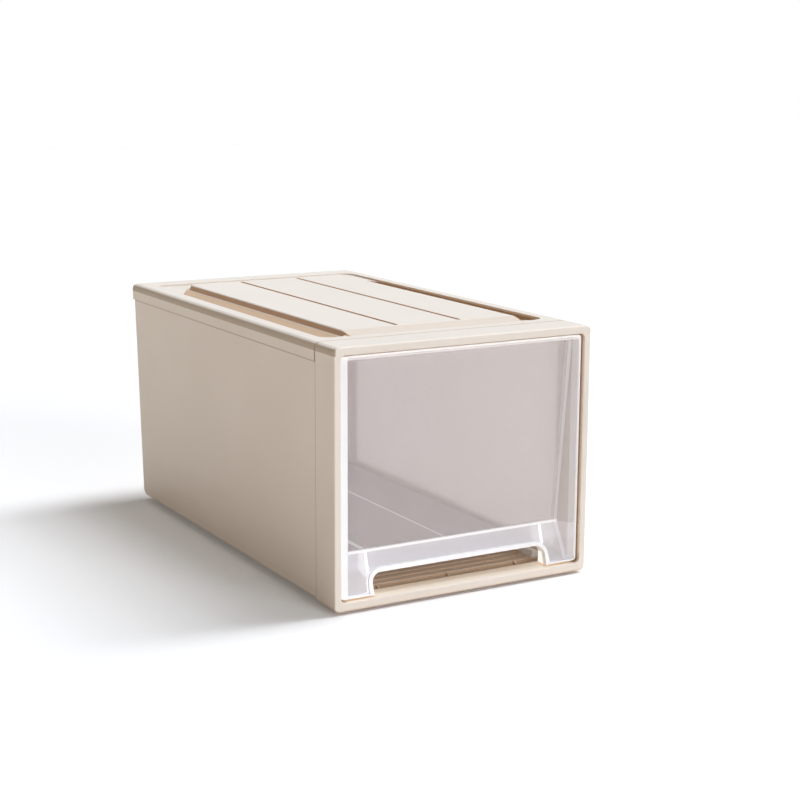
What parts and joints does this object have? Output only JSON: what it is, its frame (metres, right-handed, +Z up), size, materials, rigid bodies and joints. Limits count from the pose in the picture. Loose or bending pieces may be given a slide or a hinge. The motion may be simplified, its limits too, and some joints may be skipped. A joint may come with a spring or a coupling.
{
  "type": "stackable plastic drawer box",
  "caption": "Stackable plastic storage box: cream casing with a raised, grooved top and a translucent pull-out drawer with a sloping window and a finger arch.",
  "frame": {"origin": "on the floor, under the middle of the box", "axes": "+Z up, the drawer opens towards -Y, +X to the right seen from the front"},
  "size_m": [0.255, 0.453, 0.2295],
  "materials": {
    "cream_casing": "satin, fine moulded texture",
    "runner_plastic": "smooth",
    "foot_rubber": "matt",
    "frosted_tub": "frosted, translucent",
    "clear_front": "frosted, translucent, polished rim"
  },
  "bodies": {
    "case": {"front_frame": "cream_casing", "top_cover": "cream_casing", "left_side_panel": "cream_casing", "right_side_panel": "cream_casing", "back_panel": "cream_casing", "base_panel": "cream_casing", "left_runner_rail": "runner_plastic", "right_runner_rail": "runner_plastic", "left_rear_foot": "foot_rubber", "right_rear_foot": "foot_rubber"},
    "drawer": {"drawer_tub": "frosted_tub", "drawer_front": "clear_front"}
  },
  "joints": [
    {"name": "drawer_slide", "type": "slide", "parent": "case", "child": "drawer", "axis": [0, -1, 0], "range_m": [0, 0.39]}
  ]
}
